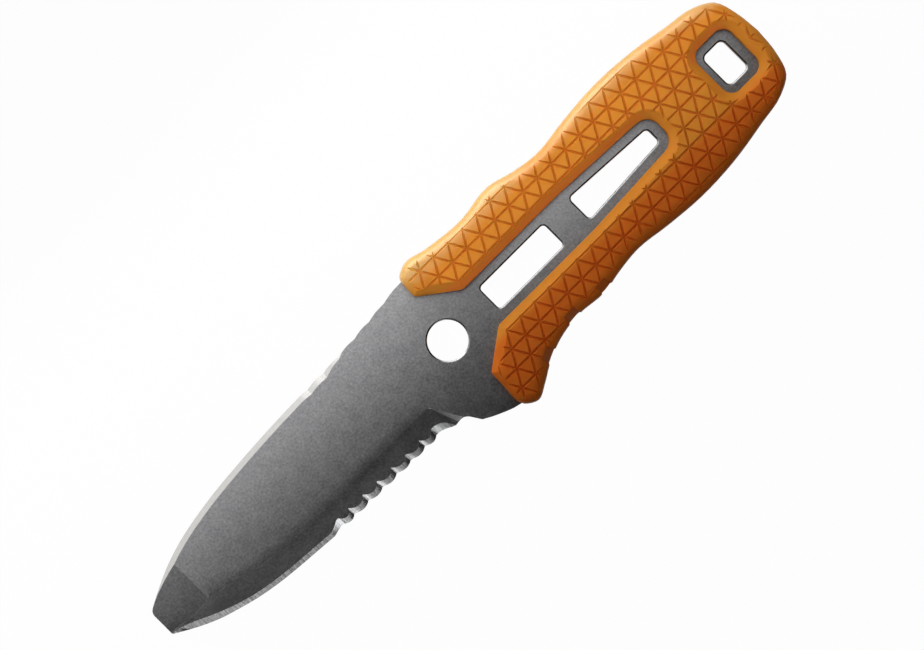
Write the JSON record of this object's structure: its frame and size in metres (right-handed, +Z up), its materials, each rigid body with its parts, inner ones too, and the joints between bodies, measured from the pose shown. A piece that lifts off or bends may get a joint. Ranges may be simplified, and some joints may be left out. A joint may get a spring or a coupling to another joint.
{
  "type": "fixed-blade rescue knife",
  "caption": "Fixed-blade knife with a blunt screwdriver tip, part-serrated edge and full steel tang between moulded orange grip scales with a lanyard window.",
  "frame": {"origin": "under the middle of the knife's bounding box, on the plane that it lies on", "axes": "+X runs along the knife from the tip to the butt, +Y from the cutting edge to the spine, +Z up out of the side shown in the picture"},
  "size_m": [0.178, 0.0406, 0.013],
  "materials": {
    "steel": "bead-blasted, with ground bevels",
    "grip": "moulded, matt, orange",
    "pin": "moulded, hidden"
  },
  "bodies": {
    "root": {"blade_tang": "steel", "grip_scale_right": "grip", "grip_scale_left": "grip", "lock_pin_1": "pin", "lock_pin_2": "pin", "lock_pin_3": "pin", "lock_pin_4": "pin", "lock_pin_5": "pin", "lock_pin_6": "pin", "lock_pin_7": "pin", "lock_pin_8": "pin"}
  },
  "joints": []
}
